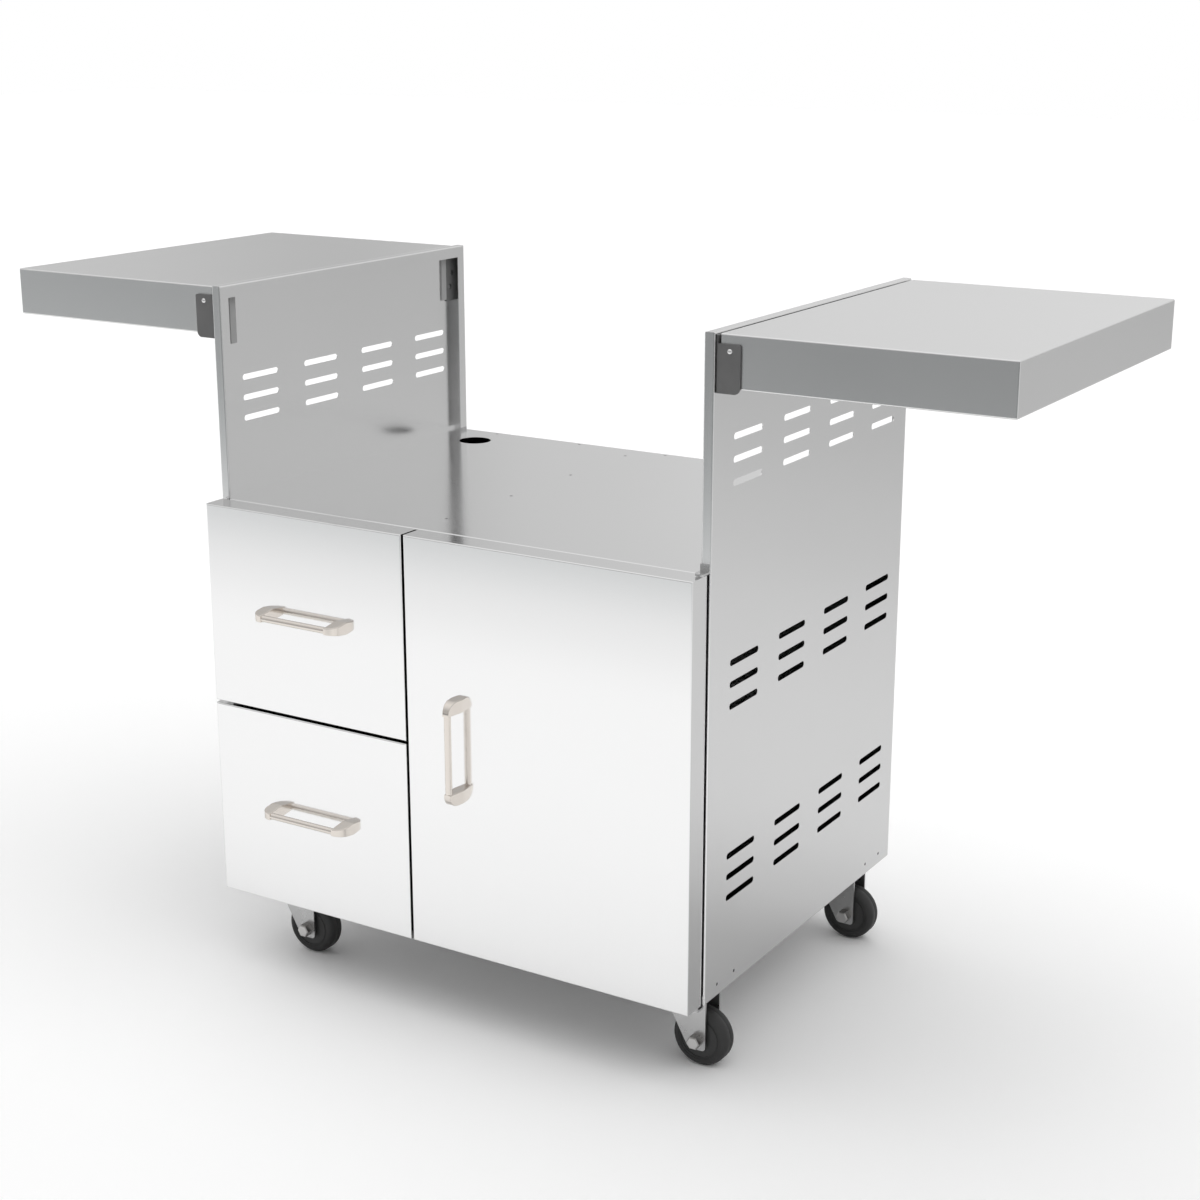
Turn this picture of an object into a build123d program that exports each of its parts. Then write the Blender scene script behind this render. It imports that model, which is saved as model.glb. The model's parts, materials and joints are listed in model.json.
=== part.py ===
"""Grill cart: a stainless cabinet on casters that carries a drop-in grill head.

Two louvred side panels, a deck between them, two drawers, one hinged door and two fold-down side shelves.
Millimetres, +Z up, front towards -Y, origin on the floor under the middle of the cart.
"""
import os
from math import sqrt

from build123d import *

os.makedirs("parts", exist_ok=True)

# Cabinet body
body_width = 722.0
body_depth = 534.0
body_bottom = 106.0
body_top = 914.0
deck_height = 640.0
sheet = 1.2
bend_radius = 1.8
panel_flange = 13.0
panel_lip = 16.0
panel_lip_rise = 4.0

# Louvre slots in the side panels
slot_length = 71.0
slot_width = 8.0
slot_first_column = 85.0
slot_column_pitch = 125.0
slot_columns = 4
slot_row_pitch = 26.8
slot_rows = 3
slot_top_rows = (790.0, 522.0, 279.5)

# Deck, base, back and divider
deck_flange = 22.0
base_flange = 30.0
back_flange = 16.0
divider_flange = 14.0
divider_setback = 6.5
hose_hole = 46.0
hose_hole_from_left = 72.0
hose_hole_from_rear = 64.0

# Fronts of the drawers and the door
front_depth = 32.5
front_clearance = 3.0
front_gap = 3.5
front_side_inset = 3.5
drawer_front_width = 310.25
liner_wall = 12.0
liner_pin_gap = 3.0

# Bow handles
handle_length = 135.0
handle_projection = 25.0
handle_block = 17.0
handle_foot = 16.0
handle_tip = 9.0
handle_corner = 15.5
handle_nose = 3.0
handle_edge = 1.0
handle_bar = 8.6
handle_bar_setback = 0.2
door_handle_inset = 75.75
door_handle_rise = 5.0
handle_screw = 4.0
handle_screw_depth = 11.0
handle_screw_head = 8.0
handle_screw_head_height = 3.0

# Drawer boxes and their three-member slides
box_lift = 30.0
box_top_gap = 64.5
box_length = 470.0
slide_depth = 12.7
slide_height = 45.0
slide_length = 450.0
slide_wall = 1.5
slide_play = 0.5
slide_setback = 8.0
slide_rise = 60.0
post_depth = 13.6
post_width = 25.0
post_first = 32.5
post_second = 397.5
post_end_gap = 3.0

# Door hinge and catch
hinge_inset = 4.0
hinge_from_back = 8.3
hinge_pin = 5.0
hinge_collar = 9.0
hinge_collar_play = 0.2
hinge_collar_height = 1.3
hinge_plate = 2.4
hinge_half_width = 6.0
hinge_tab = 1.2
hinge_tab_height = 12.0
hinge_pin_proud = 0.6
running_play = 0.05
catch_width = 46.0
catch_height = 14.0
catch_depth = 16.0
catch_air = 0.4
strike_thickness = 1.5
strike_edge = 4.0

# Fold-down shelves
shelf_length = 343.2
shelf_height = 61.0
shelf_drop = 1.0
shelf_side_inset = 6.0
shelf_lip = 12.0
stiffener_width = 60.0
stiffener_depth = 18.0
stiffener_brim = 12.0

# Shelf brackets, pivots and pins
bracket_plate = 2.5
bracket_bend = 3.0
bracket_play = 0.6
bracket_reach = 30.0
bracket_top_drop = 11.0
bracket_bottom_drop = 66.0
bracket_head_corner = 3.0
bracket_foot_corner = 7.0
bracket_tab = 2.0
bracket_tab_length = 51.5
bracket_tab_top_drop = 2.0
pivot_from_end = 20.0
pivot_rise = 20.0
pivot_pin = 6.0
pivot_clip = 12.0
pivot_clip_thickness = 1.5
pivot_stub = 1.0
fold_margin = 0.6
fold_play = 1.2
lock_reach = 17.0
lock_drop = 19.0
lock_pin = 5.0
lock_head = 6.5
lock_head_height = 2.0
rivet = 4.0
rivet_head = 7.0
rivet_head_height = 1.0
rivet_drops = (38.3, 58.0)
backing = 2.0
backing_strip_from_front = 29.0
backing_strip_width = 11.0
backing_strip_height = 59.0
backing_strip_drop = 18.0
backing_plate_from_rear = 2.0
backing_plate_width = 30.4
backing_plate_height = 61.0
backing_plate_drop = 18.0
backing_plate_rivets = (18.5, 24.5)

# Flush rivets that hold the cabinet together
screw_play = 0.1
side_rivet_rise = 15.5
side_rivet_spread = 43.0
deck_rivet_first = 60.0
deck_rivet_last = 40.5
deck_rivet_rows = 4
back_rivet_from_rear = 8.0
back_rivet_inset = 73.0
back_rivet_count = 5

# Swivel casters
caster_inset_x = 56.5
caster_front = 52.3
caster_rear = 56.4
caster_trail = 28.0
wheel_diameter = 75.0
wheel_width = 27.0
tyre_edge = 8.0
hub_diameter = 50.0
hub_inset = 1.0
hub_boss = 20.0
hub_play = 0.3
axle = 8.0
axle_head_flats = 15.5
axle_head_sides = 6
axle_head_height = 11.0
axle_head_chamfer = 1.2
fork_wall = 2.5
fork_gap = 3.0
fork_behind = 25.5
fork_ahead = 12.0
fork_foot_back = 11.5
fork_foot_height = 24.7
fork_back_corner = 8.0
fork_ahead_corner = 5.0
crown_play = 0.3
plate_length = 74.0
plate_width = 62.0
plate_thickness = 2.5
plate_corner = 6.0
race_diameter = 46.0
race_height = 3.5
kingpin = 10.0
kingpin_head = 17.0
kingpin_head_height = 3.2
plate_bolt = 6.0
plate_bolt_head = 10.0
plate_bolt_head_height = 2.4
plate_bolt_margin = 9.0

# Places worked out from the sizes above
total_depth = handle_projection + front_depth + front_clearance + body_depth
front_face_y = handle_projection - total_depth / 2
front_back_y = front_face_y + front_depth
panel_front_y = front_back_y + front_clearance
panel_rear_y = panel_front_y + body_depth
panel_mid_y = (panel_front_y + panel_rear_y) / 2
panel_height = body_top - body_bottom
panel_mid_z = (body_top + body_bottom) / 2
panel_x = body_width / 2
inner_x = panel_x - sheet
flange_x = panel_x - panel_flange
lip_x = flange_x + sheet
lip_foot_z = deck_height + panel_lip_rise
lip_top_z = body_top - panel_lip
base_top = body_bottom + 2 * sheet
deck_under = deck_height - sheet
back_face_y = panel_rear_y - sheet
back_front_y = back_face_y - sheet
inside_front_y = panel_front_y + sheet
fronts_left = front_side_inset - panel_x
door_right = panel_x - front_side_inset
drawer_right = fronts_left + drawer_front_width
door_left = drawer_right + front_gap
drawer_height = (deck_height - body_bottom - front_gap) / 2
drawer_bottoms = {"upper": deck_height - drawer_height, "lower": body_bottom}
drawer_mid_x = (fronts_left + drawer_right) / 2
box_height = drawer_height - box_lift - box_top_gap
divider_x = drawer_right - divider_setback
divider_right = divider_x + divider_flange
post_face_x = post_depth - inner_x
box_left = post_face_x + slide_depth
box_right = divider_x - slide_depth
slide_start_y = panel_front_y + slide_setback
hinge_x = door_right - hinge_inset
hinge_y = front_back_y - hinge_from_back
door_mid_z = (deck_height + body_bottom) / 2
shelf_top = body_top - shelf_drop
shelf_front_y = panel_front_y + shelf_side_inset
shelf_rear_y = panel_rear_y - shelf_side_inset
bracket_front_y = shelf_front_y - bracket_play - bracket_plate
bracket_rear_y = shelf_rear_y + bracket_play + bracket_plate
fold_radius = max(pivot_from_end, pivot_rise) + fold_margin
pivot_x = panel_x + bracket_tab + fold_play + fold_radius
pivot_z = shelf_top - shelf_height + pivot_rise
shelf_end_x = pivot_x - pivot_from_end
caster_x = panel_x - caster_inset_x
caster_ys = {"front": panel_front_y + caster_front, "rear": panel_rear_y - caster_rear}
plate_under = body_bottom + sheet - plate_thickness
race_under = plate_under - race_height
crown_top = race_under - crown_play
wheel_radius = wheel_diameter / 2
fork_half = wheel_width / 2 + fork_gap + fork_wall
side_rivet_z = body_bottom + side_rivet_rise
deck_rivet_pitch = (body_depth - deck_rivet_first - deck_rivet_last) / (deck_rivet_rows - 1)
back_rivet_pitch = (body_width - 2 * back_rivet_inset) / (back_rivet_count - 1)
sides = {"left": -1, "right": 1}


def save(piece, node):
    """Label a finished piece and write it to its own file."""
    piece.part.label = node
    export_step(piece.part, f"parts/{node}.step")


def block(low, high, mode=Mode.ADD):
    """A box between two corners, added to the part being built."""
    with Locations(tuple((a + b) / 2 for a, b in zip(low, high))):
        Box(*[b - a for a, b in zip(low, high)], mode=mode)


def rod(start, direction, length, diameter, mode=Mode.ADD):
    """A round rod from a start point along a direction, added to the part being built."""
    with BuildSketch(Plane(origin=start, z_dir=direction)) as disc:
        Circle(diameter / 2)
    extrude(disc.sketch, amount=length, mode=mode)


def screw_solid(seat, direction, head, head_height, shank, reach):
    """A screw or rivet: its head stands on the seat and its shank goes along the direction."""
    back = tuple(-d for d in direction)
    rod(seat, back, head_height, head)
    rod(seat, direction, reach, shank)


# Rivet places, shared by the rivets and the holes they fill
side_rivet_ys = [y + half * side_rivet_spread / 2 for y in caster_ys.values() for half in (-1, 1)]
divider_rivets = [
    (divider_x + divider_flange / 2, panel_front_y + deck_rivet_first + i * deck_rivet_pitch)
    for i in range(deck_rivet_rows)
]
back_rivets = [
    (back_rivet_inset - panel_x + i * back_rivet_pitch, panel_rear_y - back_rivet_from_rear)
    for i in range(back_rivet_count)
]
deck_rivets = divider_rivets + back_rivets
rivet_zs = [body_top - drop for drop in rivet_drops]
plate_mid_y = panel_rear_y - backing_plate_from_rear - backing_plate_width / 2
strip_mid_ys = (
    panel_front_y + backing_strip_from_front + backing_strip_width / 2,
    plate_mid_y - (backing_plate_width + backing_strip_width) / 2,
)
strip_rivets = [(y, z) for y in strip_mid_ys for z in rivet_zs]
plate_rivets = [(panel_rear_y - inset, z) for inset, z in zip(backing_plate_rivets, rivet_zs)]
bracket_rivet_places = strip_rivets + plate_rivets

# Side panels: a flanged tray with three bands of louvre slots, and lips turned in above the deck
slot_places = [
    (panel_front_y + slot_first_column + column * slot_column_pitch, top - row * slot_row_pitch)
    for top in slot_top_rows
    for column in range(slot_columns)
    for row in range(slot_rows)
]
for name, side in sides.items():
    face_plane = Plane.YZ.offset(side * panel_x)
    with BuildPart() as side_panel:
        with BuildSketch(face_plane):
            with Locations((panel_mid_y, panel_mid_z)):
                Rectangle(body_depth, panel_height)
        extrude(amount=-side * panel_flange)
        outer_face = side_panel.faces().sort_by(Axis.X)[-1 if side > 0 else 0]
        mouth_face = side_panel.faces().sort_by(Axis.X)[0 if side > 0 else -1]
        lip_bends = mouth_face.edges().sort_by(Axis.Z)[1:]
        fillet(outer_face.edges() + lip_bends, bend_radius)
        with BuildSketch(Plane.YZ.offset(side * inner_x)):
            with Locations((panel_mid_y, panel_mid_z)):
                Rectangle(body_depth - 2 * sheet, panel_height - 2 * sheet)
        extrude(amount=-side * (inner_x - lip_x), mode=Mode.SUBTRACT)
        with BuildSketch(Plane.YZ.offset(side * lip_x)):
            with Locations((panel_mid_y, (body_bottom + sheet + lip_foot_z) / 2)):
                Rectangle(body_depth - 2 * sheet, lip_foot_z - body_bottom - sheet)
            with Locations((panel_mid_y, (lip_foot_z + lip_top_z) / 2)):
                Rectangle(body_depth - 2 * panel_lip, lip_top_z - lip_foot_z)
        extrude(amount=-side * sheet, mode=Mode.SUBTRACT)
        with BuildSketch(face_plane):
            with Locations(*slot_places):
                SlotOverall(slot_length, slot_width)
            with Locations(*bracket_rivet_places, *[(y, side_rivet_z) for y in side_rivet_ys]):
                Circle(rivet / 2)
        extrude(amount=-side * sheet, mode=Mode.SUBTRACT)
    save(side_panel, f"{name}_side_panel")

# Deck: the shelf between the panels that the grill head stands on, with its hose hole
with BuildPart() as deck_panel:
    block((-inner_x, inside_front_y, deck_under), (inner_x, back_face_y, deck_height))
    block((-flange_x, panel_front_y, deck_under), (flange_x, panel_rear_y, deck_height))
    block((-flange_x, panel_front_y, deck_height - deck_flange), (flange_x, inside_front_y, deck_under))
    block((-flange_x, back_face_y, deck_height - deck_flange), (flange_x, panel_rear_y, deck_under))
    for side in sides.values():
        low_x, high_x = sorted((side * inner_x, side * (inner_x - sheet)))
        block((low_x, inside_front_y, deck_height - deck_flange), (high_x, back_front_y, deck_under))
    top_edges = deck_panel.faces().sort_by(Axis.Z)[-1].edges().filter_by(Axis.X).sort_by(Axis.Y)
    fillet([top_edges[0], top_edges[-1]], bend_radius)
    with BuildSketch(Plane.XY.offset(deck_height)):
        with Locations(*deck_rivets):
            Circle(rivet / 2)
        with Locations((hose_hole_from_left - panel_x, panel_rear_y - hose_hole_from_rear)):
            Circle(hose_hole / 2)
    extrude(amount=-sheet, mode=Mode.SUBTRACT)
save(deck_panel, "deck_panel")

# Bottom panel: the cabinet floor, resting on the panels' bottom flanges, with the caster bolts through it
plate_bolt_x = plate_length / 2 - plate_bolt_margin
plate_bolt_y = plate_width / 2 - plate_bolt_margin
caster_places = [(side * caster_x, y) for side in sides.values() for y in caster_ys.values()]
plate_bolts = [
    (x + i * plate_bolt_x, y + j * plate_bolt_y)
    for x, y in caster_places
    for i in (-1, 1)
    for j in (-1, 1)
]
with BuildPart() as bottom_panel:
    block((-inner_x, inside_front_y, base_top - sheet), (inner_x, back_face_y, base_top))
    block((-flange_x, panel_front_y, body_bottom), (flange_x, inside_front_y, base_top))
    for side in sides.values():
        low_x, high_x = sorted((side * inner_x, side * (inner_x - sheet)))
        block((low_x, inside_front_y, base_top), (high_x, back_front_y, base_top + base_flange))
        for y in side_rivet_ys:
            rod((side * inner_x, y, side_rivet_z), (-side, 0, 0), sheet, rivet, Mode.SUBTRACT)
    with BuildSketch(Plane.XY.offset(base_top)):
        with Locations(*plate_bolts):
            Circle(plate_bolt / 2 + screw_play)
        with Locations(*caster_places):
            Circle(kingpin / 2 + screw_play)
    extrude(amount=-sheet, mode=Mode.SUBTRACT)
save(bottom_panel, "bottom_panel")

# Back panel: closes the cabinet behind, flanged forward under the deck and over the floor
with BuildPart() as back_panel:
    block((-inner_x, back_front_y, base_top), (inner_x, back_face_y, deck_under))
    inset_x = inner_x - sheet
    for low_z in (base_top, deck_under - sheet):
        block((-inset_x, back_face_y - back_flange, low_z), (inset_x, back_front_y, low_z + sheet))
    with BuildSketch(Plane.XY.offset(deck_under)):
        with Locations(*back_rivets):
            Circle(rivet / 2)
    extrude(amount=-sheet, mode=Mode.SUBTRACT)
save(back_panel, "back_panel")

# Centre divider: a channel between the drawers and the door, riveted under the deck
divider_front_y = inside_front_y
divider_rear_y = back_face_y - back_flange
with BuildPart() as centre_divider:
    divider_low = (divider_x, divider_front_y, base_top + sheet)
    block(divider_low, (divider_x + sheet, back_front_y, deck_under - sheet))
    for low_z in (base_top, deck_under - sheet):
        block((divider_x, divider_front_y, low_z), (divider_right, divider_rear_y, low_z + sheet))
    block(divider_low, (divider_right, divider_front_y + sheet, deck_under - sheet))
    with BuildSketch(Plane.XY.offset(deck_under)):
        with Locations(*divider_rivets):
            Circle(rivet / 2)
    extrude(amount=-sheet, mode=Mode.SUBTRACT)
save(centre_divider, "centre_divider")

# Slide posts: two upright channels on the left panel that carry the drawer slides
post_low_z = base_top + base_flange + post_end_gap
post_high_z = deck_height - deck_flange - post_end_gap
post_ys = (panel_front_y + post_first, panel_front_y + post_second)
with BuildPart() as slide_posts:
    for y in post_ys:
        block((-inner_x, y - post_width / 2, post_low_z), (post_face_x, y + post_width / 2, post_high_z))
        channel_low = (-inner_x, y - post_width / 2 + sheet, post_low_z)
        channel_high = (post_face_x - sheet, y + post_width / 2 - sheet, post_high_z)
        block(channel_low, channel_high, Mode.SUBTRACT)
save(slide_posts, "slide_posts")

# Drawer slides: nested channels, the outer one on the cabinet and the inner one on the drawer
slide_zs = {level: bottom + box_lift + slide_rise for level, bottom in drawer_bottoms.items()}
slide_sides = {"left": (post_face_x, 1), "right": (divider_x, -1)}


def slide_channel(face_x, into, z, near, far, half_height, opens_inward):
    """A slide member: a channel from near to far off its face, opening towards or away from the drawer."""
    low_x, high_x = sorted((face_x + into * near, face_x + into * far))
    end_y = slide_start_y + slide_length
    block((low_x, slide_start_y, z - half_height), (high_x, end_y, z + half_height))
    near_cut = near + slide_wall if opens_inward else near
    far_cut = far if opens_inward else far - slide_wall
    low_x, high_x = sorted((face_x + into * near_cut, face_x + into * far_cut))
    cut = half_height - slide_wall
    block((low_x, slide_start_y, z - cut), (high_x, end_y, z + cut), Mode.SUBTRACT)


outer_half = slide_height / 2
middle_half = outer_half - slide_wall - slide_play
inner_half = middle_half - slide_wall - slide_play
middle_near = slide_wall + slide_play
inner_near = 2 * (slide_wall + slide_play)
with BuildPart() as cabinet_rails:
    for z in slide_zs.values():
        for face_x, into in slide_sides.values():
            slide_channel(face_x, into, z, 0, slide_depth - slide_play, outer_half, True)
save(cabinet_rails, "slide_cabinet_rails")

for level, z in slide_zs.items():
    with BuildPart() as middle_rails:
        for face_x, into in slide_sides.values():
            slide_channel(face_x, into, z, middle_near, slide_depth - slide_play, middle_half, True)
    save(middle_rails, f"{level}_slide_middle_rails")
    with BuildPart() as drawer_rails:
        for face_x, into in slide_sides.values():
            slide_channel(face_x, into, z, inner_near, slide_depth, inner_half, False)
    save(drawer_rails, f"{level}_slide_drawer_rails")

# Handle seats: each handle stands on a front, with its bar along X on a drawer and along Z on the door
handle_seats = {
    f"{level}_drawer": ((drawer_mid_x, front_face_y, bottom + drawer_height / 2), (1, 0, 0))
    for level, bottom in drawer_bottoms.items()
}
door_handle_seat = (door_left + door_handle_inset, front_face_y, door_mid_z + door_handle_rise)
handle_seats["door"] = (door_handle_seat, (0, 0, 1))
outward = (0, -1, 0)
screw_offset = (handle_length - handle_block) / 2
bar_length = handle_length - 2 * (handle_block - handle_nose)
bar_out = handle_projection - handle_bar_setback - handle_bar / 2


def screw_points(node):
    """The two points on a front where a handle's screws come through."""
    seat, along = handle_seats[node]
    return [
        tuple(s + end * screw_offset * a for s, a in zip(seat, along))
        for end in (-1, 1)
    ]


# Handles: a round bar between two tapered end blocks, with a screw into each block
for node, (seat, along) in handle_seats.items():
    along_vector = Vector(*along)
    out_vector = Vector(*outward)
    plan = Plane(origin=seat, x_dir=along, z_dir=along_vector.cross(out_vector))
    profile = Plane(origin=seat, x_dir=outward, z_dir=along)
    wall = Plane(origin=seat, x_dir=along, z_dir=outward)
    with BuildPart() as handle:
        with BuildSketch(plan):
            with Locations((-screw_offset, handle_projection / 2), (screw_offset, handle_projection / 2)):
                Rectangle(handle_block, handle_projection)
            tips = vertices().group_by(Axis.Y)[-1].sort_by(Axis.X)
            fillet([tips[0], tips[-1]], handle_corner)
            fillet([tips[1], tips[2]], handle_nose)
        extrude(amount=handle_foot / 2, both=True)
        with BuildSketch(profile):
            with BuildLine():
                Polyline(
                    (0, -handle_foot / 2),
                    (0, handle_foot / 2),
                    (handle_projection, handle_tip / 2),
                    (handle_projection, -handle_tip / 2),
                    close=True,
                )
            make_face()
        extrude(amount=handle_length / 2, both=True, mode=Mode.INTERSECT)
        flanks = handle.faces().sort_by(Axis(seat, plan.z_dir))
        for flank in flanks[:2] + flanks[-2:]:
            off_wall = flank.edges().group_by(Axis(seat, outward))[1:]
            fillet([edge for group in off_wall for edge in group], handle_edge)
        with BuildSketch(wall):
            with Locations((-screw_offset, 0), (screw_offset, 0)):
                Circle(handle_screw / 2)
        extrude(amount=handle_screw_depth, mode=Mode.SUBTRACT)
        bar_start = wall.from_local_coords((-bar_length / 2, 0, bar_out))
        rod(bar_start, along, bar_length, handle_bar)
    save(handle, f"{node}_handle")
    with BuildPart() as handle_screws:
        for x, y, z in screw_points(node):
            head_seat = (x, front_face_y + sheet, z)
            screw_solid(
                head_seat,
                outward,
                handle_screw_head,
                handle_screw_head_height,
                handle_screw,
                handle_screw_depth,
            )
    save(handle_screws, f"{node}_handle_screws")


def drill_handle_holes(node):
    """Clearance holes through a front for its handle screws."""
    for x, y, z in screw_points(node):
        rod((x, front_face_y + sheet, z), outward, sheet, handle_screw + 2 * screw_play, Mode.SUBTRACT)


# Drawers: a folded front, a liner that closes it behind, and an open-topped box on the liner
for level, bottom in drawer_bottoms.items():
    top = bottom + drawer_height
    with BuildPart() as drawer_front:
        block((fronts_left, front_face_y, bottom), (drawer_right, front_back_y, top))
        fillet(drawer_front.faces().sort_by(Axis.Y)[0].edges(), bend_radius)
        hollow_low = (fronts_left + sheet, front_face_y + sheet, bottom + sheet)
        hollow_high = (drawer_right - sheet, front_back_y, top - sheet)
        block(hollow_low, hollow_high, Mode.SUBTRACT)
        drill_handle_holes(f"{level}_drawer")
    save(drawer_front, f"{level}_drawer_front")
    with BuildPart() as drawer_liner:
        block((hollow_low[0], front_back_y - sheet, hollow_low[2]), hollow_high)
    save(drawer_liner, f"{level}_drawer_liner")
    box_bottom = bottom + box_lift
    with BuildPart() as drawer_box:
        box_low = (box_left, front_back_y, box_bottom)
        block(box_low, (box_right, front_back_y + box_length, box_bottom + box_height))
        inside_low = (box_left + sheet, front_back_y + sheet, box_bottom + sheet)
        inside_high = (box_right - sheet, front_back_y + box_length - sheet, box_bottom + box_height)
        block(inside_low, inside_high, Mode.SUBTRACT)
    save(drawer_box, f"{level}_drawer_box")

# Door skin: a folded tray with a hole for a hinge pin in its top and bottom walls
with BuildPart() as door_front:
    block((door_left, front_face_y, body_bottom), (door_right, front_back_y, deck_height))
    fillet(door_front.faces().sort_by(Axis.Y)[0].edges(), bend_radius)
    hollow_low = (door_left + sheet, front_face_y + sheet, body_bottom + sheet)
    block(hollow_low, (door_right - sheet, front_back_y, deck_under), Mode.SUBTRACT)
    for start_z in (body_bottom, deck_under):
        rod((hinge_x, hinge_y, start_z), (0, 0, 1), sheet, hinge_pin + 2 * running_play, Mode.SUBTRACT)
    drill_handle_holes("door")
save(door_front, "door_front")

# Door liner: the inner pan that nests inside the skin and stops short of the hinge pins
with BuildPart() as door_liner:
    liner_low = (door_left + sheet, front_back_y - liner_wall, body_bottom + sheet)
    liner_high = (hinge_x - hinge_pin / 2 - liner_pin_gap, front_back_y, deck_under)
    block(liner_low, liner_high)
    pan_low = (liner_low[0] + sheet, liner_low[1], liner_low[2] + sheet)
    pan_high = (liner_high[0] - sheet, front_back_y - sheet, liner_high[2] - sheet)
    block(pan_low, pan_high, Mode.SUBTRACT)
save(door_liner, "door_liner")

# Door hinge brackets: a tab on the right panel's front flange, with a plate under and one over the door
hinge_stack = hinge_collar_play + hinge_collar_height
hinge_levels = {
    "bottom": (body_bottom, -1),
    "top": (deck_height, 1),
}
with BuildPart() as hinge_brackets:
    for door_edge, away in hinge_levels.values():
        z = door_edge + away * hinge_stack
        with BuildSketch(Plane.XY.offset(z)):
            with Locations((hinge_x, hinge_y)):
                Circle(hinge_half_width)
            with Locations((hinge_x, (hinge_y + panel_front_y) / 2)):
                Rectangle(2 * hinge_half_width, panel_front_y - hinge_y)
            with Locations((hinge_x, hinge_y)):
                Circle(hinge_pin / 2, mode=Mode.SUBTRACT)
        extrude(amount=away * hinge_plate)
        tab_low = (hinge_x - hinge_half_width, panel_front_y - hinge_tab, min(z, z + away * hinge_plate))
        block(tab_low, (hinge_x + hinge_half_width, panel_front_y, door_edge + hinge_tab_height))
save(hinge_brackets, "door_hinge_brackets")

# Door hinge pins: a collar that takes the door's weight and a stub through the door's wall
with BuildPart() as hinge_pins:
    for door_edge, away in hinge_levels.values():
        z = door_edge + away * hinge_stack
        pin_length = hinge_plate + hinge_stack + sheet + hinge_pin_proud
        rod((hinge_x, hinge_y, z + away * hinge_plate), (0, 0, -away), pin_length, hinge_pin)
        rod((hinge_x, hinge_y, z), (0, 0, -away), hinge_collar_height, hinge_collar)
save(hinge_pins, "door_hinge_pins")

# Door catch: a magnet under the deck's front flange and a strike plate on the liner
catch_x = door_left + door_handle_inset
catch_top = deck_height - deck_flange
strike_face_y = front_back_y + strike_thickness
with BuildPart() as catch:
    catch_low = (catch_x - catch_width / 2, strike_face_y + catch_air, catch_top - catch_height)
    block(catch_low, (catch_x + catch_width / 2, strike_face_y + catch_air + catch_depth, catch_top))
save(catch, "door_catch_magnet")
with BuildPart() as strike:
    strike_half = catch_width / 2 + strike_edge
    strike_low = (catch_x - strike_half, front_back_y, catch_top - catch_height - strike_edge)
    block(strike_low, (catch_x + strike_half, strike_face_y, catch_top + strike_edge))
save(strike, "door_strike_plate")

# Shelves: a folded pan, open below, with its lower inner corner rounded about the fold pivot
shelf_depth = shelf_rear_y - shelf_front_y
pivot_drop = shelf_height - pivot_rise
corner_on_end = -sqrt(fold_radius ** 2 - pivot_from_end ** 2)
corner_on_edge = -sqrt(fold_radius ** 2 - pivot_rise ** 2)
corner_middle = -fold_radius / sqrt(2)
for name, side in sides.items():
    end_x = side * shelf_end_x
    far_x = side * (shelf_end_x + shelf_length)
    # The side view is drawn with the pivot at its origin and x pointing away from the cabinet
    pivot_end = (side * pivot_x, shelf_front_y, pivot_z)
    side_view = Plane(origin=pivot_end, x_dir=(side, 0, 0), z_dir=(0, -side, 0))
    with BuildPart() as shelf:
        with BuildSketch(side_view):
            with BuildLine():
                Polyline(
                    (-pivot_from_end, corner_on_end),
                    (-pivot_from_end, pivot_drop),
                    (shelf_length - pivot_from_end, pivot_drop),
                    (shelf_length - pivot_from_end, -pivot_rise),
                    (corner_on_edge, -pivot_rise),
                )
                ThreePointArc(
                    (corner_on_edge, -pivot_rise),
                    (corner_middle, corner_middle),
                    (-pivot_from_end, corner_on_end),
                )
            make_face()
        extrude(amount=-side * shelf_depth)
        by_height = shelf.faces().sort_by(Axis.Z)
        away_from_cabinet = Axis((0, 0, 0), (side, 0, 0))
        under_edges = by_height[0].edges().sort_by(away_from_cabinet)[1:]
        fillet(by_height[-1].edges() + under_edges + shelf.edges().filter_by(Axis.Z), bend_radius)
        low_x, high_x = sorted((end_x + side * sheet, far_x - side * sheet))
        cavity_low = (low_x, shelf_front_y + sheet, shelf_top - shelf_height + sheet)
        block(cavity_low, (high_x, shelf_rear_y - sheet, shelf_top - sheet), Mode.SUBTRACT)
        low_x, high_x = sorted((side * pivot_x, far_x - side * shelf_lip))
        mouth_low = (low_x, shelf_front_y + shelf_lip, shelf_top - shelf_height)
        block(mouth_low, (high_x, shelf_rear_y - shelf_lip, cavity_low[2]), Mode.SUBTRACT)
        low_x, high_x = sorted((end_x, side * pivot_x))
        throat_low = (low_x, shelf_front_y + sheet, shelf_top - shelf_height)
        block(throat_low, (high_x, shelf_rear_y - sheet, cavity_low[2]), Mode.SUBTRACT)
        for start_y in (shelf_front_y, shelf_rear_y - sheet):
            pivot_point = (side * pivot_x, start_y, pivot_z)
            rod(pivot_point, (0, 1, 0), sheet, pivot_pin + 2 * running_play, Mode.SUBTRACT)
    save(shelf, f"{name}_shelf_pan")
    with BuildPart() as stiffener:
        mid_x = (end_x + far_x) / 2
        hat_top = shelf_top - sheet
        hat_half = stiffener_width / 2
        rib_front_y = shelf_front_y + sheet
        rib_rear_y = shelf_rear_y - sheet
        hat_low = (mid_x - hat_half, rib_front_y, hat_top - stiffener_depth)
        block(hat_low, (mid_x + hat_half, rib_rear_y, hat_top))
        groove_low = (mid_x - hat_half + sheet, rib_front_y, hat_top - stiffener_depth + sheet)
        block(groove_low, (mid_x + hat_half - sheet, rib_rear_y, hat_top), Mode.SUBTRACT)
        for low_x in (mid_x - hat_half - stiffener_brim, mid_x + hat_half):
            block((low_x, rib_front_y, hat_top - sheet), (low_x + stiffener_brim, rib_rear_y, hat_top))
    save(stiffener, f"{name}_shelf_stiffener")

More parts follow.
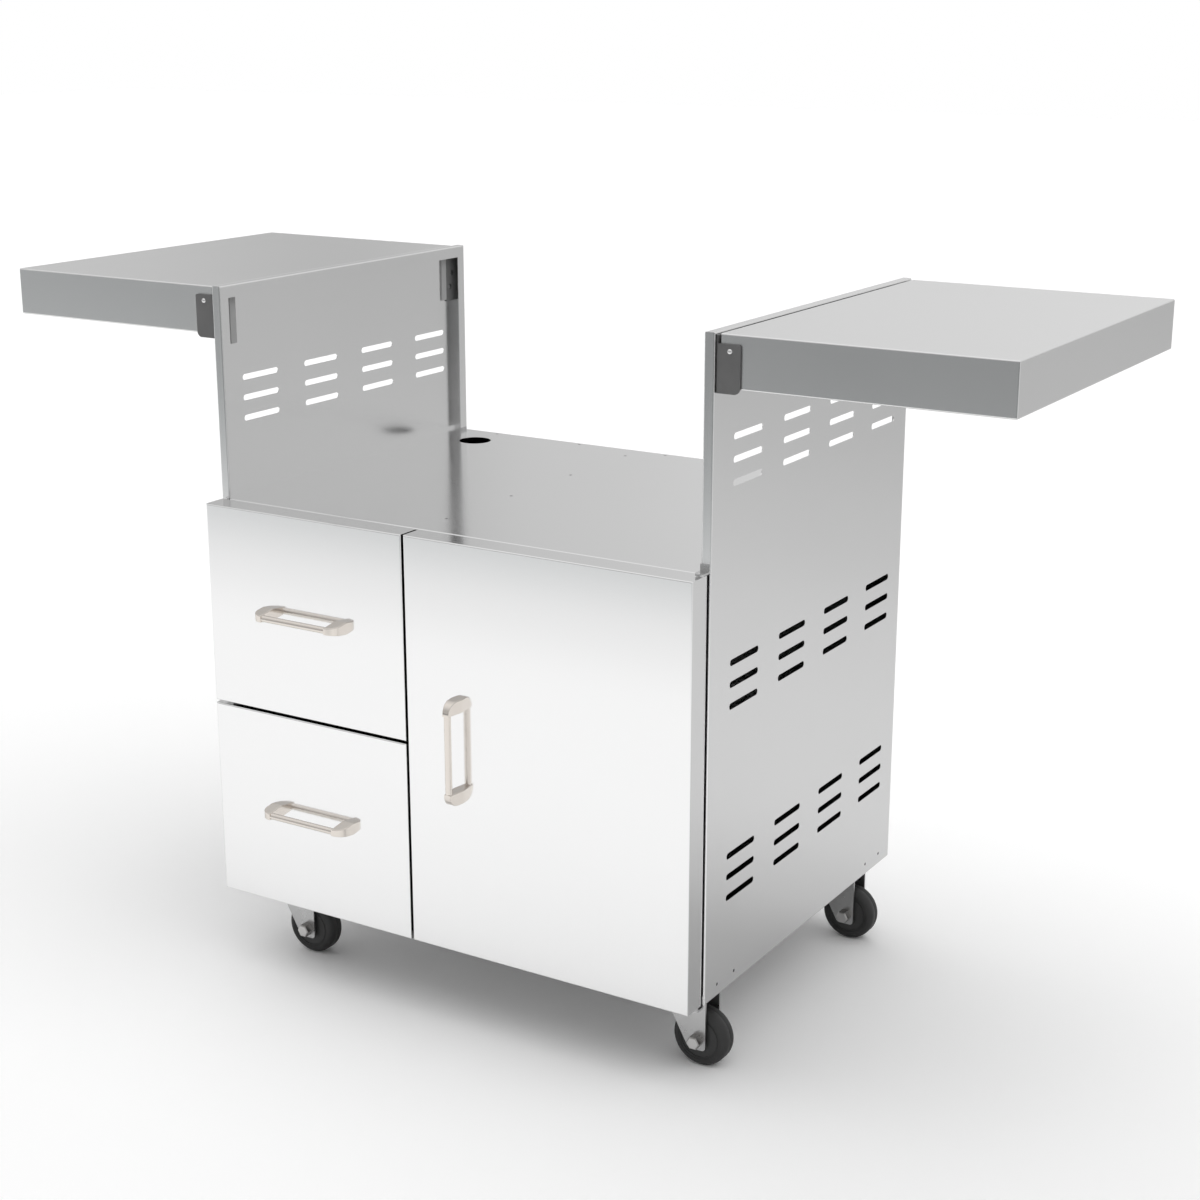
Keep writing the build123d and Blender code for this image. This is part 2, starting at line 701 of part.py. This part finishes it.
# Shelf brackets: a plate in front of and behind each shelf, folded along the outside of the side panel
bracket_ends = {"front": (bracket_front_y, 1), "rear": (bracket_rear_y, -1)}
bracket_top = shelf_top - bracket_top_drop
bracket_bottom = shelf_top - bracket_bottom_drop
with BuildPart() as brackets:
    for side in sides.values():
        for outer_y, into in bracket_ends.values():
            view = Plane(origin=(side * panel_x, outer_y, 0), x_dir=(side, 0, 0), z_dir=(0, -side, 0))
            with BuildSketch(view):
                with Locations((bracket_reach / 2, (bracket_top + bracket_bottom) / 2)):
                    Rectangle(bracket_reach, bracket_top - bracket_bottom)
                fillet(vertices().group_by(Axis.X)[-1].sort_by(Axis.Y)[0], bracket_foot_corner)
                fillet(vertices().group_by(Axis.X)[-1].sort_by(Axis.Y)[-1], bracket_head_corner)
                with Locations((lock_reach, shelf_top - lock_drop)):
                    Circle(lock_pin / 2, mode=Mode.SUBTRACT)
            extrude(amount=-side * into * bracket_plate)
            low_x, high_x = sorted((side * panel_x, side * (panel_x + bracket_tab)))
            low_y, high_y = sorted((outer_y, outer_y + into * bracket_tab_length))
            block((low_x, low_y, bracket_bottom), (high_x, high_y, shelf_top - bracket_tab_top_drop))
        for y, z in bracket_rivet_places:
            rod((side * panel_x, y, z), (side, 0, 0), bracket_tab, rivet, Mode.SUBTRACT)
    for outermost in (0, -1):
        upright = brackets.edges().filter_by(Axis.Z).group_by(Axis.Y)[outermost]
        bends = sorted(upright, key=lambda edge: abs(edge.center().X))[:len(sides)]
        fillet(bends, bracket_bend)
save(brackets, "shelf_brackets")

# Backing strips and plates: inside each panel, behind the bracket tabs; the strips cover their rivets
strip_mid_z = body_top - backing_strip_drop - backing_strip_height / 2
plate_mid_z = body_top - backing_plate_drop - backing_plate_height / 2
with BuildPart() as backing_strips:
    for side in sides.values():
        with BuildSketch(Plane.YZ.offset(side * inner_x)):
            with Locations(*[(y, strip_mid_z) for y in strip_mid_ys]):
                Rectangle(backing_strip_width, backing_strip_height)
        extrude(amount=-side * backing)
save(backing_strips, "bracket_backing_strips")
with BuildPart() as backing_plates:
    for side in sides.values():
        with BuildSketch(Plane.YZ.offset(side * inner_x)):
            with Locations((plate_mid_y, plate_mid_z)):
                Rectangle(backing_plate_width, backing_plate_height)
            with Locations(*plate_rivets):
                Circle(rivet / 2, mode=Mode.SUBTRACT)
        extrude(amount=-side * backing)
save(backing_plates, "bracket_backing_plates")

# Pivot studs: welded inside the bracket plates, through the shelf walls, held by a clip
with BuildPart() as pivot_studs:
    for side in sides.values():
        for outer_y, into in bracket_ends.values():
            inward = (0, into, 0)
            stud_y = outer_y + into * bracket_plate
            clip_y = stud_y + into * (2 * bracket_play + sheet)
            stud_length = 2 * bracket_play + sheet + pivot_clip_thickness + pivot_stub
            rod((side * pivot_x, stud_y, pivot_z), inward, stud_length, pivot_pin)
            rod((side * pivot_x, clip_y, pivot_z), inward, pivot_clip_thickness, pivot_clip)
save(pivot_studs, "shelf_pivot_studs")

# Lock pins: bright button heads on the bracket plates
with BuildPart() as lock_pins:
    for side in sides.values():
        for outer_y, into in bracket_ends.values():
            lock_point = (side * (panel_x + lock_reach), outer_y, shelf_top - lock_drop)
            screw_solid(lock_point, (0, into, 0), lock_head, lock_head_height, lock_pin, bracket_plate)
save(lock_pins, "shelf_lock_pins")

# Bracket rivets: through panel and tab, flush under the strips and headed on the plates
with BuildPart() as bracket_rivets:
    for side in sides.values():
        outwards = (side, 0, 0)
        for y, z in strip_rivets:
            rod((side * inner_x, y, z), outwards, sheet + bracket_tab, rivet)
        for y, z in plate_rivets:
            head_seat = (side * (inner_x - backing), y, z)
            reach = backing + sheet + bracket_tab
            screw_solid(head_seat, outwards, rivet_head, rivet_head_height, rivet, reach)
save(bracket_rivets, "bracket_rivets")

# Cabinet rivets: flush with the panels and the deck outside, headed inside
with BuildPart() as cabinet_rivets:
    for side in sides.values():
        for y in side_rivet_ys:
            head_seat = (side * (inner_x - sheet), y, side_rivet_z)
            screw_solid(head_seat, (side, 0, 0), rivet_head, rivet_head_height, rivet, 2 * sheet)
    for x, y in deck_rivets:
        screw_solid((x, y, deck_under - sheet), (0, 0, 1), rivet_head, rivet_head_height, rivet, 2 * sheet)
save(cabinet_rivets, "cabinet_rivets")

# Caster plates with their bearing races, kingpins and bolts
with BuildPart() as caster_plates:
    with BuildSketch(Plane.XY.offset(plate_under)):
        with Locations(*caster_places):
            RectangleRounded(plate_length, plate_width, plate_corner)
    extrude(amount=plate_thickness)
    with BuildSketch(Plane.XY.offset(plate_under)):
        with Locations(*caster_places):
            Circle(race_diameter / 2)
    extrude(amount=-race_height)
    with BuildSketch(Plane.XY.offset(race_under)):
        with Locations(*caster_places):
            Circle(kingpin / 2)
        with Locations(*plate_bolts):
            Circle(plate_bolt / 2 + screw_play)
    extrude(amount=race_height + plate_thickness, mode=Mode.SUBTRACT)
save(caster_plates, "caster_plates")

pin_head_top = crown_top - fork_wall - crown_play
with BuildPart() as kingpins:
    for x, y in caster_places:
        rod((x, y, base_top), (0, 0, -1), base_top - pin_head_top, kingpin)
        rod((x, y, pin_head_top), (0, 0, -1), kingpin_head_height, kingpin_head)
save(kingpins, "caster_kingpins")

with BuildPart() as caster_bolts:
    for x, y in plate_bolts:
        seat = (x, y, base_top)
        screw_solid(
            seat,
            (0, 0, -1),
            plate_bolt_head,
            plate_bolt_head_height,
            plate_bolt,
            sheet + plate_thickness,
        )
save(caster_bolts, "caster_bolts")

# Casters: fork, axle bolt, tyre and hub of each, all trailing towards +X as the cart stands
for name, side in sides.items():
    for end, y in caster_ys.items():
        x = side * caster_x
        axle_x = x + caster_trail
        node = f"{end}_{name}_caster"
        leg_view = Plane(origin=(x, y, 0), x_dir=(1, 0, 0), z_dir=(0, -1, 0))
        with BuildPart() as fork:
            with BuildSketch(leg_view):
                with BuildLine():
                    Polyline(
                        (-fork_behind, crown_top),
                        (caster_trail + fork_ahead, crown_top),
                        (caster_trail + fork_ahead, fork_foot_height),
                        (caster_trail - fork_foot_back, fork_foot_height),
                        close=True,
                    )
                make_face()
                fillet(vertices().group_by(Axis.Y)[0].sort_by(Axis.X)[0], fork_back_corner)
                fillet(vertices().group_by(Axis.Y)[0].sort_by(Axis.X)[-1], fork_ahead_corner)
            extrude(amount=fork_half, both=True)
            room_low = (x - fork_behind, y - fork_half + fork_wall, fork_foot_height)
            room_high = (axle_x + fork_ahead, y + fork_half - fork_wall, crown_top - fork_wall)
            block(room_low, room_high, Mode.SUBTRACT)
            crown_low = crown_top - fork_wall
            rod((x, y, crown_low), (0, 0, 1), fork_wall, race_diameter)
            rod((x, y, crown_low), (0, 0, 1), fork_wall, kingpin + 2 * running_play, Mode.SUBTRACT)
            rod((axle_x, y - fork_half, wheel_radius), (0, 1, 0), 2 * fork_half, axle, Mode.SUBTRACT)
        save(fork, f"{node}_fork")
        with BuildPart() as axle_bolt:
            rod((axle_x, y - fork_half, wheel_radius), (0, 1, 0), 2 * fork_half, axle)
            for start, out in ((y - fork_half, -1), (y + fork_half, 1)):
                head_plane = Plane(origin=(axle_x, start, wheel_radius), x_dir=(1, 0, 0), z_dir=(0, out, 0))
                with BuildSketch(head_plane):
                    RegularPolygon(axle_head_flats / 2, axle_head_sides, major_radius=False)
                extrude(amount=axle_head_height)
            by_width = axle_bolt.faces().sort_by(Axis.Y)
            chamfer(by_width[0].edges() + by_width[-1].edges(), axle_head_chamfer)
        save(axle_bolt, f"{node}_axle")
        wheel_view = Plane(origin=(axle_x, y, wheel_radius), x_dir=(0, 1, 0), z_dir=(1, 0, 0))
        wheel_axis = Axis((axle_x, y, wheel_radius), (0, 1, 0))
        with BuildPart() as tyre:
            with BuildSketch(wheel_view):
                with Locations((0, (wheel_radius + hub_diameter / 2) / 2)):
                    Rectangle(wheel_width, wheel_radius - hub_diameter / 2)
                fillet(vertices().group_by(Axis.Y)[-1], tyre_edge)
            revolve(axis=wheel_axis)
        save(tyre, f"{node}_tyre")
        with BuildPart() as hub:
            disc_half = wheel_width / 2 - hub_inset
            boss_half = fork_half - fork_wall - hub_play
            boss_start = (axle_x, y - boss_half, wheel_radius)
            rod((axle_x, y - disc_half, wheel_radius), (0, 1, 0), 2 * disc_half, hub_diameter)
            rod(boss_start, (0, 1, 0), 2 * boss_half, hub_boss)
            rod(boss_start, (0, 1, 0), 2 * boss_half, axle + 2 * running_play, Mode.SUBTRACT)
        save(hub, f"{node}_hub")
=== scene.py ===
import json
import math

import bmesh
import bpy
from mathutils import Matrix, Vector


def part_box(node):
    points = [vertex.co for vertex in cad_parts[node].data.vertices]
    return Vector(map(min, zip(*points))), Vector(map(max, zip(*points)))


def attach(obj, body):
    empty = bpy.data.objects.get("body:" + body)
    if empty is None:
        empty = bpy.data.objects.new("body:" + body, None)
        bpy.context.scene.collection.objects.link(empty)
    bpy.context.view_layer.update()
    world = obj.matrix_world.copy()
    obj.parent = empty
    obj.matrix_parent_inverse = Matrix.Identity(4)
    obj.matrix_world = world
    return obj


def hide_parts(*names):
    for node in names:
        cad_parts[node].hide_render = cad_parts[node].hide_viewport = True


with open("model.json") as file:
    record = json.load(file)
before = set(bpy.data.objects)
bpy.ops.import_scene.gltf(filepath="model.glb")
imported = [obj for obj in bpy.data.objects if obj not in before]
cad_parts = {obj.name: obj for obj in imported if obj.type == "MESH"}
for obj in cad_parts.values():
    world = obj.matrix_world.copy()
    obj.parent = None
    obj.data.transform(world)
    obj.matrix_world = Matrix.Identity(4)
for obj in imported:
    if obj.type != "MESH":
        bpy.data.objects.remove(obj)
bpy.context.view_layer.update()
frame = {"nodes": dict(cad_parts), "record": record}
nodes = frame["nodes"]
scene = bpy.context.scene
scene.view_settings.view_transform = "Standard"

# Camera, fitted to the photograph's edges
camera_tilt, camera_turn = 73.85, 31.557
camera_data = bpy.data.cameras.new("camera")
camera_data.lens = 62.738
camera_data.sensor_width = 36.0
camera_data.clip_end = 100.0
camera = bpy.data.objects.new("camera", camera_data)
camera.location = (1.44067, -2.23330, 1.26738)
camera.rotation_euler = (math.radians(camera_tilt), 0.0, math.radians(camera_turn))
scene.collection.objects.link(camera)
scene.camera = camera


class Tree:
    """A node tree, with short ways to add and join nodes."""

    def __init__(self, owner, fresh=False):
        owner.use_nodes = True
        self.nodes = owner.node_tree.nodes
        self.links = owner.node_tree.links
        if fresh:
            self.nodes.clear()
        else:
            self.bsdf = self.nodes["Principled BSDF"]

    def add(self, kind, **settings):
        """A new node, with its properties."""
        node = self.nodes.new(kind)
        for key, value in settings.items():
            setattr(node, key, value)
        return node

    def put(self, value, socket):
        """Gives a socket its value, or joins another node's output to it."""
        if isinstance(value, bpy.types.NodeSocket):
            self.links.new(value, socket)
        else:
            socket.default_value = value

    def feed(self, node, **inputs):
        """Fills a node's sockets by name."""
        for name, value in inputs.items():
            self.put(value, node.inputs[name.replace("_", " ")])
        return node

    def math(self, operation, first, second):
        node = self.add("ShaderNodeMath", operation=operation)
        for socket, value in zip(node.inputs, (first, second)):
            self.put(value, socket)
        return node.outputs[0]

    def mix(self, fac, first, second, kind="RGBA", blend="MIX"):
        """A blend of two colours, or of two numbers where kind is FLOAT."""
        node = self.add("ShaderNodeMix", data_type=kind, blend_type=blend)
        return self.feed(node, Factor=fac, A=first, B=second).outputs["Result"]

    def tint(self, fac, dark, light):
        """A colour between two shades."""
        return self.mix(fac, (*dark, 1.0), (*light, 1.0))

    def axes(self, vector):
        """The X, Y and Z of a vector."""
        node = self.feed(self.add("ShaderNodeSeparateXYZ"), Vector=vector)
        return [node.outputs[axis] for axis in "XYZ"]

    def noise(self, scale, size=1.0, detail=3.0, rough=0.55):
        """Noise over the object's own coordinates, stretched by a scale for each axis."""
        place = self.add("ShaderNodeTexCoord").outputs["Object"]
        mapping = self.feed(self.add("ShaderNodeMapping"), Vector=place, Scale=scale)
        node = self.add("ShaderNodeTexNoise")
        self.feed(node, Vector=mapping.outputs["Vector"], Scale=size, Detail=detail, Roughness=rough)
        return node.outputs["Fac"]

    def spread(self, value, low, high, start=0.3, end=0.7):
        """Maps a value from start to end, by default a noise's middle range, onto low to high."""
        node = self.add("ShaderNodeMapRange")
        self.feed(node, Value=value, From_Min=start, From_Max=end, To_Min=low, To_Max=high)
        return node.outputs["Result"]

    def ramp(self, value, low, high, stops):
        """A smooth grey over a value, as (value, brightness) stops between low and high."""
        node = self.add("ShaderNodeValToRGB")
        node.color_ramp.interpolation = "EASE"
        elements = node.color_ramp.elements
        while len(elements) < len(stops):
            elements.new(0.5)
        for element, (at, brightness) in zip(elements, stops):
            element.position = (at - low) / (high - low)
            element.color = (brightness, brightness, brightness, 1.0)
        return self.feed(node, Fac=self.spread(value, 0.0, 1.0, low, high)).outputs["Color"]

    def bump(self, height, strength, distance):
        node = self.feed(self.add("ShaderNodeBump"), Height=height, Strength=strength, Distance=distance)
        self.feed(self.bsdf, Normal=node.outputs["Normal"])

    def rays(self):
        """Whether a ray comes from the camera, and whether it comes by way of a mirror or glass."""
        path = self.add("ShaderNodeLightPath").outputs
        return path["Is Camera Ray"], self.math("MAXIMUM", path["Is Glossy Ray"], path["Is Transmission Ray"])

    def glow(self, colour, strength=1.0):
        """A world's light of one colour."""
        return self.feed(self.add("ShaderNodeBackground"), Color=colour, Strength=strength).outputs[0]

    def choose(self, fac, first, second):
        """The first shader, or where fac is 1 the second."""
        node = self.feed(self.add("ShaderNodeMixShader"), Fac=fac)
        self.put(first, node.inputs[1])
        self.put(second, node.inputs[2])
        return node.outputs[0]


def shade(value, warm=0.0):
    """A grey of that brightness, a little warm or cool."""
    return (value + warm, value, value - warm)


steel_cloud = (3.0, 3.0, 3.0)
grain_height = 0.0002
coating_cloud = 18.0
stipple_height = 0.0003
unstretched = (1.0, 1.0, 1.0)


def steel(name, value, contrast, roughness, vary, grain, grain_depth, warm=0.0, painted_side_shade=None):
    """Rolled or brushed steel: fine grain along one axis, slow clouds of sheen and a faint change of shade.

    Where the last argument is given, it is painted shade: the faces that don't look along Y take that darker
    shade in place of the steel's own.
    """
    material = bpy.data.materials.new(name)
    tree = Tree(material)
    fine = tree.noise(grain, detail=4.0, rough=0.6)
    cloud = tree.noise(steel_cloud, detail=2.0)
    both = tree.mix(0.5, fine, cloud, kind="FLOAT")
    colour = tree.tint(tree.spread(both, 0.0, 1.0), shade(value - contrast, warm), shade(value + contrast, warm))
    # Painted shade: faces that don't look along Y get the darker side shade given as the last argument instead of
    # the steel's colour
    if painted_side_shade is not None:
        along = tree.axes(tree.add("ShaderNodeTexCoord").outputs["Normal"])[1]
        endwise = tree.spread(tree.math("MULTIPLY", along, along), 0.0, 1.0)
        colour = tree.mix(endwise, (*shade(painted_side_shade, warm), 1.0), colour)
    sheen = tree.spread(both, roughness - vary, roughness + vary)
    tree.feed(tree.bsdf, Metallic=1.0, Base_Color=colour, Roughness=sheen)
    tree.bump(fine, grain_depth, grain_height)
    return material


def coating(name, value, contrast, roughness, vary, size, depth):
    """Paint, rubber or moulded plastic: an even colour with fine stipple and worn, cloudy gloss."""
    material = bpy.data.materials.new(name)
    tree = Tree(material)
    stipple = tree.noise(unstretched, size=size)
    cloud = tree.noise(unstretched, size=coating_cloud)
    colour = tree.tint(tree.spread(cloud, 0.0, 1.0), shade(value - contrast), shade(value + contrast))
    tree.feed(tree.bsdf, Base_Color=colour, Roughness=tree.spread(cloud, roughness - vary, roughness + vary))
    tree.bump(stipple, depth, stipple_height)
    return material


# Materials, one for each slot of the record
along_x = (4.0, 700.0, 700.0)
along_y = (700.0, 4.0, 700.0)
along_z = (700.0, 700.0, 4.0)
even = (90.0, 90.0, 90.0)
finishes = {
    # Steel: its shade and how far that varies, its roughness and how far that varies, its grain and the depth;
    # where the last argument is given, the painted shade of the faces that don't look along Y
    "front_steel": steel("front_steel", 0.93, 0.008, 0.11, 0.02, along_z, 0.004, painted_side_shade=0.80),
    "panel_steel": steel("panel_steel", 0.85, 0.012, 0.20, 0.03, along_z, 0.02),
    "deck_steel": steel("deck_steel", 0.83, 0.012, 0.15, 0.03, along_x, 0.02),
    "shelf_steel": steel("shelf_steel", 0.86, 0.012, 0.22, 0.03, along_y, 0.02),
    "inner_steel": steel("inner_steel", 0.66, 0.03, 0.32, 0.05, along_x, 0.04),
    "zinc_steel": steel("zinc_steel", 0.62, 0.03, 0.28, 0.06, even, 0.03),
    "axle_steel": steel("axle_steel", 0.72, 0.02, 0.30, 0.05, even, 0.02, warm=0.01, painted_side_shade=0.30),
    "handle_nickel": steel("handle_nickel", 0.74, 0.015, 0.14, 0.03, even, 0.01, warm=0.055),
    "fastener_steel": steel("fastener_steel", 0.78, 0.03, 0.20, 0.05, even, 0.02),
    # Coatings: the same four numbers, then the fineness and the depth of the stipple
    # strip_grey is a lighter copy of the bracket grey: painted light, standing for the lit part beside the shaded
    # backing plates
    "strip_grey": coating("strip_grey", 0.40, 0.015, 0.45, 0.06, 900.0, 0.05),
    "rivet_grey": coating("rivet_grey", 0.05, 0.008, 0.45, 0.06, 900.0, 0.05),
    "bracket_grey": coating("bracket_grey", 0.135, 0.012, 0.45, 0.06, 900.0, 0.05),
    "catch_black": coating("catch_black", 0.03, 0.006, 0.55, 0.06, 1400.0, 0.08),
    "tyre_black": coating("tyre_black", 0.032, 0.006, 0.55, 0.08, 700.0, 0.10),
    "hub_grey": coating("hub_grey", 0.045, 0.008, 0.50, 0.08, 1100.0, 0.08),
}
slot_of = {entry["node"]: entry["material_slot"] for entry in frame["record"]["subparts"]}
for name, node in nodes.items():
    node.data.materials.clear()
    node.data.materials.append(finishes[slot_of[name]])

# Turned pieces that stand for plain CAD solids
turned_steps = 48
turned_angles = [2.0 * math.pi * step / turned_steps for step in range(turned_steps)]
sharp_angle = 35.0


def turned(name, profile, places, body, node):
    """One mesh of equal turned pieces, each a ring of (height, radius) points spun about an axis at its place."""
    shape = bmesh.new()
    for origin, axis in places:
        turn = Vector(axis).to_track_quat("Z", "Y")
        rings = []
        for height, radius in profile:
            spots = [Vector((radius * math.cos(a), radius * math.sin(a), height)) for a in turned_angles]
            rings.append([shape.verts.new(Vector(origin) + turn @ spot) for spot in spots])
        for low, high in zip(rings, rings[1:] + rings[:1]):
            for step in range(turned_steps):
                after = (step + 1) % turned_steps
                shape.faces.new((low[step], low[after], high[after], high[step]))
    bmesh.ops.recalc_face_normals(shape, faces=shape.faces)
    data = bpy.data.meshes.new(name)
    shape.to_mesh(data)
    shape.free()
    data.shade_smooth()
    data.set_sharp_from_angle(angle=math.radians(sharp_angle))
    data.materials.append(finishes[slot_of[node]])
    piece = bpy.data.objects.new(name, data)
    scene.collection.objects.link(piece)
    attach(piece, body)
    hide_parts(node)


def arc(centre, radius, start, end, steps):
    """Points (height, radius) along an arc in a turned profile, its angles in degrees from the axis."""
    angles = [math.radians(start + (end - start) * step / steps) for step in range(steps + 1)]
    return [(centre[0] + radius * math.cos(a), centre[1] + radius * math.sin(a)) for a in angles]


# Lock pins: button heads on the four bracket plates, each with a bore too fine to see
pin_bore = 0.0002
pin_shank = 0.0025
pin_plate = 0.0025
pin_crown = 0.0020
crown_tip, crown_steps = 2.0, 8
low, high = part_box("shelf_lock_pins")
pin_head = (high[2] - low[2]) / 2
pin_ball = (pin_head ** 2 + pin_crown ** 2) / (2 * pin_crown)
pin_edge = math.degrees(math.asin(pin_head / pin_ball))
pin_profile = [(-pin_plate, pin_bore), (-pin_plate, pin_shank), (0.0, pin_shank)]
pin_profile += arc((pin_crown - pin_ball, 0.0), pin_ball, pin_edge, crown_tip, crown_steps)
pin_places = [
    ((x, y, (low[2] + high[2]) / 2), (0.0, out, 0.0))
    for x in (low[0] + pin_head, high[0] - pin_head)
    for y, out in ((low[1] + pin_crown, -1.0), (high[1] - pin_crown, 1.0))
]
turned("lock_pin_buttons", pin_profile, pin_places, "cart", "shelf_lock_pins")

# Tyres: a rounded tread with a fine mould line, and a ring pressed into each side
tyre_bore = 0.0250
tyre_shoulder, shoulder_steps = 0.0080, 10
mould_line = 0.00025
ring_inner, ring_outer, ring_depth = 0.0262, 0.0284, 0.0006
for node in [name for name in nodes if name.endswith("_tyre")]:
    low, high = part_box(node)
    half = (high[1] - low[1]) / 2
    tread = (high[2] - low[2]) / 2
    pressed = half - ring_depth
    profile = [(half, tyre_bore), (half, ring_inner), (pressed, ring_inner)]
    profile += [(pressed, ring_outer), (half, ring_outer)]
    profile += arc((half - tyre_shoulder, tread - tyre_shoulder), tyre_shoulder, 0.0, 90.0, shoulder_steps)
    profile += [(2 * mould_line, tread), (0.0, tread - mould_line)]
    profile += [(-height, radius) for height, radius in profile[-2::-1]]
    centre = [(a + b) / 2 for a, b in zip(low, high)]
    turned(f"{node}_moulded", profile, [(centre, (0.0, 1.0, 0.0))], node.replace("_tyre", "_wheel"), node)

# Floor: white to the camera. For mirrored rays its colour is painted with a pale pool of light in front of the
# cart, which turns dim and cool with distance, and with painted shade beside the cart.
floor_reach = 40.0
floor_white = 0.90
# Painted light: to the camera the floor grows brighter from front to back over Y, which lightens its shadows
# towards the back
floor_shown = (1.0, 1.08)
floor_shown_over_y = (-0.8, 1.2)
pool_ends = (-8.0, 8.0)
pool_over_y = (
    (-8.0, 0.23), (-4.6, 0.245), (-3.1, 0.36), (-2.5, 0.56), (-2.2, 0.74), (-1.9, 0.89), (-1.5, 1.0),
    (-1.1, 1.0), (-0.5, 0.97), (-0.3, 0.81), (-0.05, 0.61), (0.15, 0.62), (0.35, 0.71), (0.55, 0.76),
    (1.0, 0.73), (1.6, 0.69), (2.2, 0.61), (3.6, 0.53), (8.0, 0.48),
)
pool_front = (-0.3, -1.2)
pool_gains_over_x = ((-2.0, -5.0, 0.35), (1.2, 2.6, -0.35))
pool_cool = (0.970, 1.0, 1.008)
pool_cool_over_y = (-1.9, -2.6)
white = (1.0, 1.0, 1.0)


def floor_finish():
    """The floor's matte material."""
    material = bpy.data.materials.new("floor")
    tree = Tree(material, fresh=True)
    seen, mirrored = tree.rays()
    x, y, _ = tree.axes(tree.add("ShaderNodeNewGeometry").outputs["Position"])
    # Painted light and shade: the colour that mirrors see is a pool of light over Y, darker beside the cart,
    # lightened to the far left and shaded to the far right in front, and cooler far off
    pool = tree.ramp(y, *pool_ends, pool_over_y)
    in_front = tree.spread(y, 0.0, 1.0, *pool_front)
    for near_x, far_x, far_gain in pool_gains_over_x:
        gain = tree.math("MULTIPLY", tree.spread(x, 0.0, far_gain, near_x, far_x), in_front)
        pool = tree.math("MULTIPLY", pool, tree.math("ADD", gain, 1.0))
    cool = tree.tint(tree.spread(y, 0.0, 1.0, *pool_cool_over_y), white, pool_cool)
    pool = tree.mix(1.0, pool, cool, blend="MULTIPLY")
    # Painted light: the camera's floor brightens towards the back
    plain = tree.mix(seen, floor_white, tree.spread(y, *floor_shown, *floor_shown_over_y), kind="FLOAT")
    matte = tree.feed(tree.add("ShaderNodeBsdfDiffuse"), Color=tree.mix(mirrored, plain, pool))
    tree.feed(tree.add("ShaderNodeOutputMaterial"), Surface=matte.outputs[0])
    return material


bpy.ops.mesh.primitive_plane_add(size=floor_reach)
floor = bpy.context.object
floor.name = "floor"
floor.data.materials.append(floor_finish())

# World: white to the camera, soft light on everything, and in the steel a pale room by compass direction
sky_soft = 0.41
sky_ends = (-180.0, 180.0)
sky_over_azimuth = (
    (-180.0, 0.47), (-90.0, 0.64), (-47.0, 0.60), (-38.0, 0.50), (-33.0, 0.64), (-25.0, 0.72), (-15.0, 0.76),
    (10.0, 0.75), (25.0, 0.66), (45.0, 0.62), (90.0, 0.60), (180.0, 0.47),
)
sky_overhead = 0.94
overhead_over_z = (0.42, 0.85)


def studio():
    """The world's light."""
    world = bpy.data.worlds.new("studio")
    tree = Tree(world, fresh=True)
    seen, mirrored = tree.rays()
    x, y, z = tree.axes(tree.add("ShaderNodeTexCoord").outputs["Generated"])
    azimuth = tree.math("MULTIPLY", tree.math("ARCTAN2", x, y), 180.0 / math.pi)
    around = tree.ramp(azimuth, *sky_ends, sky_over_azimuth)
    room = tree.mix(tree.spread(z, 0.0, 1.0, *overhead_over_z), around, (*shade(sky_overhead), 1.0))
    lit = tree.choose(mirrored, tree.glow((*white, 1.0), sky_soft), tree.glow(room))
    shown = tree.choose(seen, lit, tree.glow((*white, 1.0)))
    tree.feed(tree.add("ShaderNodeOutputWorld"), Surface=shown)
    return world


scene.world = studio()

# Two wide soft lamps from above, one to each side, as even over the floor as over the cart:
# the level, the width in degrees and the direction that the light comes from
lamps = {
    "right_lamp": (0.36, 70.0, (0.40, -0.10, 1.0)),
    "left_lamp": (0.34, 90.0, (-0.90, 0.20, 1.0)),
}
for name, (level, width, source) in lamps.items():
    lamp_data = bpy.data.lights.new(name, "SUN")
    lamp_data.energy = level * math.pi
    lamp_data.angle = math.radians(width)
    lamp = bpy.data.objects.new(name, lamp_data)
    lamp.rotation_mode = "QUATERNION"
    lamp.rotation_quaternion = Vector(source).to_track_quat("Z", "Y")
    lamp.visible_glossy = False
    scene.collection.objects.link(lamp)
